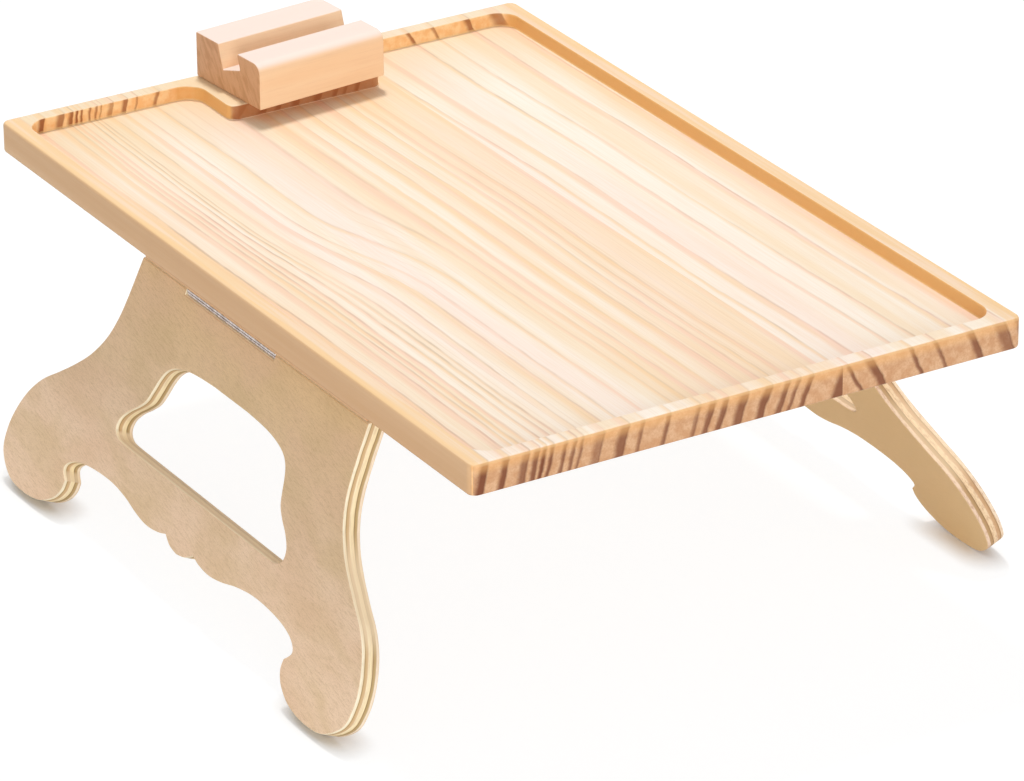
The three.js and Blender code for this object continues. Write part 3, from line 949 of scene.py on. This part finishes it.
def holder_block():
    back = HOLDER_DEPTH / 2
    back_lip = back - SLOT_LIP
    front_lip = back_lip - SLOT_WIDTH / math.cos(TILT)
    floor_back = (back_lip - SLOT_DEPTH * math.sin(TILT), HOLDER_HEIGHT - SLOT_DEPTH * math.cos(TILT))
    floor_front = (floor_back[0] - SLOT_WIDTH * math.cos(TILT), floor_back[1] + SLOT_WIDTH * math.sin(TILT))
    edge = SECTION_ARRIS
    section = rounded_outline([
        (back, 0, edge), (back, HOLDER_HEIGHT, edge), (back_lip, HOLDER_HEIGHT, edge),
        (*floor_back, SLOT_CORNER_RADIUS), (*floor_front, SLOT_CORNER_RADIUS),
        (front_lip, HOLDER_HEIGHT, edge), (-back, HOLDER_HEIGHT, HOLDER_EDGE_RADIUS), (-back, 0, edge),
    ], SECTION_STEPS)
    shell = Shell()
    half = HOLDER_LENGTH / 2
    stations = [(half - drop, inset) for inset, drop in quarter(HOLDER_ARRIS)]
    stations += [(-along, inset) for along, inset in reversed(stations)]
    # The section lies in the plane that the length crosses.
    rings = [shell.flat_ring(grown(section, -inset), along) for along, inset in stations]
    shell.skins(rings)
    shell.cap([rings[0]])
    shell.cap([rings[-1]], flipped=True)
    shell.points = [(z, x, y + HOLDER_LIFT) for x, y, z in shell.points]
    block = shell.piece("phone_holder_beech", HOLDER_PLACE)

    seat = cylinder(WASHER_DIAMETER / 2 + FIT, -WASHER_THICKNESS, WASHER_THICKNESS + FIT)
    hole = cylinder(PIVOT_SCREW["diameter"] / 2 + FIT, 0, PIVOT_SCREW["length"] + FIT - BOARD_THICKNESS)
    cutters = [seat.piece("washer_seat", HOLDER_PLACE), hole.piece("pilot_hole", HOLDER_PLACE)]
    combine(block, cutters, "DIFFERENCE")
    dress(block, BEECH, "phone_holder_block", "phone_holder")


holder_block()

# Hinge rails


def hinge_rail(side):
    corners = ((LEAF_START, -RAIL_LENGTH / 2), (LEAF_START + RAIL_WIDTH, RAIL_LENGTH / 2))
    plan = rounded_rectangle(*corners, RAIL_ARRIS, RAIL_ARRIS, ARRIS_STEPS)
    shell = Shell()
    top = RAIL_SEAT + RAIL_HEIGHT
    walls = shell.walls(plan, rounded_levels(RAIL_SEAT, top, RAIL_ARRIS))

    # Countersunk holes run through to the board, and the leaf's pilot holes are blind.
    spots = [(HINGE_MIDDLE_X, y) for y in RAIL_SCREW_PLACES]
    mouths, ends = zip(*[shell.screw_hole(spot, RAIL_SCREW, RAIL_SEAT, top) for spot in spots])
    depth = RAIL_SEAT - LEAF_THICKNESS + RAIL_LEAF_SCREW["length"] + FIT
    spots = [(HINGE_MIDDLE_X, y) for y in LEAF_SCREW_PLACES]
    pilots = [shell.blind_hole(spot, RAIL_LEAF_SCREW, RAIL_SEAT, depth) for spot in spots]
    shell.cap([walls[0], *mouths, *pilots], flipped=True)
    shell.cap([walls[-1], *ends])
    rail = shell.piece(f"{side}_rail_pine", HINGE_PLACES[side])
    dress(rail, RAIL_PINE, f"{side}_hinge_rail", "tray")


# Hinges


def hinge_leaf(side, above):
    """A leaf with three countersunk holes and every other knuckle of the barrel."""
    inner, outer = LEAF_GAP / 2, LEAF_GAP / 2 + LEAF_THICKNESS
    corners = ((LEAF_START, HINGE_START), (LEAF_START + RAIL_WIDTH, HINGE_END))
    plan = rounded_rectangle(*corners, LEAF_ARRIS, LEAF_CORNER_RADIUS, ARRIS_STEPS)
    plate = Shell()
    edges = plate.walls(plan, rounded_levels(inner, outer, LEAF_ARRIS))
    screw = RAIL_LEAF_SCREW if above else LEG_LEAF_SCREW
    out = 0 if above else LEG_SCREW_OFFSET
    wide = screw["head"] / 2 + FIT
    levels = [(inner, wide), (outer, wide - LEAF_THICKNESS)]
    spots = [(HINGE_MIDDLE_X + out, y) for y in LEAF_SCREW_PLACES]
    mouths, ends = zip(*[plate.hole(spot, levels) for spot in spots])
    plate.cap([edges[0], *mouths], flipped=True)
    plate.cap([edges[-1], *ends])

    pitch = (HINGE_LENGTH + KNUCKLE_GAP) / KNUCKLE_COUNT
    length = pitch - KNUCKLE_GAP
    curls = []
    for i in range(0 if above else 1, KNUCKLE_COUNT, 2):
        start = HINGE_START + i * pitch
        knuckle = tube(KNUCKLE_DIAMETER / 2, BORE_DIAMETER / 2, start, start + length, LEAF_ARRIS)
        knuckle.points = [(x, z, -y) for x, y, z in knuckle.points]
        # The sheet leaves the barrel level and joins the leaf.
        tongue = Shell()
        near, wide = (BORE_DIAMETER + LEAF_THICKNESS) / 2, LEAF_START + LEAF_CORNER_RADIUS
        sheet = [(near, start), (wide, start), (wide, start + length), (near, start + length)]
        tongue.close([tongue.flat_ring(sheet, height) for height in (inner + LEAF_SEAM, outer - LEAF_SEAM)])
        curls += [knuckle, tongue]
    shells = [plate, *curls]
    if not above:
        for shell in shells:
            shell.points = [(x, y, -z) for x, y, z in shell.points]
    node = f"{side}_rail_leaf" if above else f"{side}_leg_leaf"
    place = HINGE_PLACES[side]
    leaf, *others = [shell.piece(f"{node}_{i}", place) for i, shell in enumerate(shells)]
    combine(leaf, others, "UNION")
    leaf.name = f"{node}_steel"
    dress(leaf, STEEL, node, "tray" if above else f"{side}_leg")


def hinge_pin(side):
    shell = Shell()
    levels = rounded_levels(HINGE_START, HINGE_END, PIN_DOME)
    shell.close([shell.flat_ring(circle(PIN_DIAMETER / 2 - inset), height) for height, inset in levels])
    shell.points = [(x, z, -y) for x, y, z in shell.points]
    pin = shell.piece(f"{side}_pin_steel", HINGE_PLACES[side])
    dress(pin, STEEL, f"{side}_hinge_pin", "tray")


# Screws and the washer


def wood_screw(name, size, place):
    """A countersunk screw with a cross recess and a thread. Its face is at its place."""
    head, radius, length = size["head"] / 2, size["diameter"] / 2, size["length"]
    cone = head - radius
    shell = Shell()
    arm, half = head * CROSS_REACH, head * CROSS_BREADTH
    corners = [(arm, -half), (arm, half), (half, half)]
    cross = []
    for _ in range(4):
        cross += corners
        corners = [(-y, x) for x, y in corners]
    mouth = shell.flat_ring(cross, 0)
    bottom = shell.flat_ring([(x * CROSS_TAPER, y * CROSS_TAPER) for x, y in cross], -head * CROSS_SINK)
    shell.skin(bottom, mouth)
    shell.cap([bottom])

    def thread_ring(height):
        """A ring whose thread crest lies at an angle that turns once in each pitch."""
        points = []
        for i in range(THREAD_SIDES):
            angle = 2 * math.pi * i / THREAD_SIDES
            phase = (height / (radius * THREAD_PITCH) - i / THREAD_SIDES) % 1
            crest = max(0, 1 - abs(phase - 0.5) * 4)
            reach = radius * (1 - THREAD_DEPTH * (1 - crest))
            points.append((reach * math.cos(angle), reach * math.sin(angle), height))
        return shell.ring(points)

    plain_end = -cone - (length - cone) * SHANK_SHARE
    levels = [(0, head - SCREW_ARRIS), (-SCREW_ARRIS, head), (-cone, radius), (plain_end, radius)]
    rings = [shell.flat_ring(circle(reach, steps=THREAD_SIDES), height) for height, reach in levels]
    tip_start = -length * (1 - SCREW_TIP_SHARE)
    turns = (plain_end - tip_start) / (radius * THREAD_PITCH)
    steps = math.ceil(turns * THREAD_STEPS)
    for i in range(1, steps + 1):
        rings.append(thread_ring(plain_end + (tip_start - plain_end) * i / steps))
    rings.append(shell.flat_ring(circle(radius * TIP_BLUNTNESS, steps=THREAD_SIDES), -length))
    shell.skins(rings)
    shell.cap([rings[0], mouth])
    shell.cap([rings[-1]], flipped=True)
    return shell.piece(name, place, sharp=35)


def place_screw(size, node, place, body):
    dress(wood_screw(f"{node}_zinc", size, place), ZINC, node, body)


def hinge_side(side):
    hinge_rail(side)
    hinge_leaf(side, above=True)
    hinge_leaf(side, above=False)
    hinge_pin(side)
    place = HINGE_PLACES[side]
    for i, y in enumerate(RAIL_SCREW_PLACES, 1):
        spot = place @ metres(HINGE_MIDDLE_X, y, RAIL_SEAT) @ UPWARD
        place_screw(RAIL_SCREW, f"{side}_rail_screw_{i}", spot, "tray")
    for i, y in enumerate(LEAF_SCREW_PLACES, 1):
        spot = place @ metres(HINGE_MIDDLE_X, y, LEAF_GAP / 2) @ UPWARD
        place_screw(RAIL_LEAF_SCREW, f"{side}_rail_leaf_screw_{i}", spot, "tray")
        spot = place @ metres(HINGE_MIDDLE_X + LEG_SCREW_OFFSET, y, -LEAF_GAP / 2)
        place_screw(LEG_LEAF_SCREW, f"{side}_leg_leaf_screw_{i}", spot, f"{side}_leg")


for side in HINGE_PLACES:
    hinge_side(side)

pivot_place = HOLDER_PLACE @ metres(0, 0, -BOARD_THICKNESS) @ UPWARD
place_screw(PIVOT_SCREW, "holder_pivot_screw", pivot_place, "phone_holder")

washer = tube(WASHER_DIAMETER / 2, WASHER_BORE / 2, 0, WASHER_THICKNESS, WASHER_ARRIS)
dress(washer.piece("holder_washer_zinc", HOLDER_PLACE), ZINC, "holder_washer", "phone_holder")

# Floor and light, in metres and watts
FLOOR_REACH = 6
FLOOR_TONE = (0.9, 0.9, 0.9, 1)
WHITE = (1, 1, 1, 1)
FLOOR_GLOW = 1.115
FLOOR_GLOW_SHARE = 0.8
CONTACT_REACH = 0.013
CONTACT_DARK, CONTACT_CLEAR = 0.35, 0.95
WORLD_LIGHT = 0.46
# Each lamp's name, place, aim, size and power
LAMPS = [
    ("overhead", (0.15, 0.5, 1.6), (0, 0, 0.1), 0.2, 13.2),
    ("front", (-0.8, -1.7, 0.4), (0, 0, 0.1), 0.8, 13.6),
    ("right", (0.9, -1.3, 0.4), (0, 0, 0.05), 0.6, 2.8),
]


def plain_floor():
    mesh = bpy.data.meshes.new("floor")
    corners = [(x * FLOOR_REACH, y * FLOOR_REACH, 0) for x, y in ((-1, -1), (1, -1), (1, 1), (-1, 1))]
    mesh.from_pydata(corners, [], [(0, 1, 2, 3)])
    add("floor", mesh)
    material = bpy.data.materials.new("floor_white")
    material.use_nodes = True
    nodes = Nodes(material.node_tree)
    nodes.tree.nodes.remove(nodes.tree.nodes["Principled BSDF"])
    # The glow gives way close to what stands on the floor, so that the contact shadows stay.
    open_air = nodes.node("ShaderNodeAmbientOcclusion", {"Distance": CONTACT_REACH}, "AO")
    share = nodes.node("ShaderNodeMapRange", {
        "Value": open_air, "From Min": CONTACT_DARK, "From Max": CONTACT_CLEAR, "To Max": FLOOR_GLOW_SHARE,
    })
    seen = nodes.math("MULTIPLY", nodes.node("ShaderNodeLightPath", output="Is Camera Ray"), share)
    diffuse = nodes.node("ShaderNodeBsdfDiffuse", {"Color": FLOOR_TONE})
    glow = nodes.node("ShaderNodeEmission", {"Strength": FLOOR_GLOW})
    mixed = nodes.node("ShaderNodeMixShader", {0: seen, 1: diffuse, 2: glow})
    nodes.link(mixed, nodes.tree.nodes["Material Output"].inputs["Surface"])
    mesh.materials.append(material)


def soft_world():
    world = bpy.data.worlds.new("soft_white")
    bpy.context.scene.world = world
    world.use_nodes = True
    nodes = Nodes(world.node_tree)
    path = nodes.tree.nodes.new("ShaderNodeLightPath")
    shown = path.outputs["Is Camera Ray"]
    for kind in ("Is Glossy Ray", "Is Transmission Ray"):
        shown = nodes.math("MAXIMUM", shown, path.outputs[kind])
    strength = nodes.node("ShaderNodeMapRange", {"Value": shown, "To Min": WORLD_LIGHT, "To Max": 1.0})
    background = nodes.tree.nodes["Background"]
    nodes.link(WHITE, background.inputs["Color"])
    nodes.link(strength, background.inputs["Strength"])


def softbox(name, place, aim, size, power):
    light = bpy.data.lights.new(name, "AREA")
    light.shape = "SQUARE"
    light.size = size
    light.energy = power
    lamp = add(name, light)
    lamp.location = place
    lamp.rotation_mode = "QUATERNION"
    lamp.rotation_quaternion = (Vector(aim) - Vector(place)).to_track_quat("-Z", "Y")


plain_floor()
soft_world()
for lamp in LAMPS:
    softbox(*lamp)

# Camera at the photograph's angle
CAMERA_AZIMUTH = -0.53894
CAMERA_ELEVATION = 0.44617
CAMERA_ROLL = -0.00788
CAMERA_PLACE = (-1262.21, -2126.83, 1242.51)
CAMERA_LENS = 226.66
CAMERA_SENSOR = 36
CAMERA_NEAR, CAMERA_FAR = 0.1, 30


def photo_camera():
    data = bpy.data.cameras.new("camera")
    data.sensor_width = CAMERA_SENSOR
    data.lens = CAMERA_LENS
    data.clip_start, data.clip_end = CAMERA_NEAR, CAMERA_FAR
    camera = add("camera", data)
    back = Vector((
        math.sin(CAMERA_AZIMUTH) * math.cos(CAMERA_ELEVATION),
        -math.cos(CAMERA_AZIMUTH) * math.cos(CAMERA_ELEVATION),
        math.sin(CAMERA_ELEVATION),
    ))
    right = Vector((math.cos(CAMERA_AZIMUTH), math.sin(CAMERA_AZIMUTH), 0))
    basis = Matrix((right, back.cross(right), back)).transposed()
    turned = basis @ Matrix.Rotation(CAMERA_ROLL, 3, "Z")
    camera.matrix_world = Matrix.Translation(Vector(CAMERA_PLACE) * MM) @ turned.to_4x4()
    bpy.context.scene.camera = camera


photo_camera()
bpy.context.scene.view_settings.view_transform = "Standard"
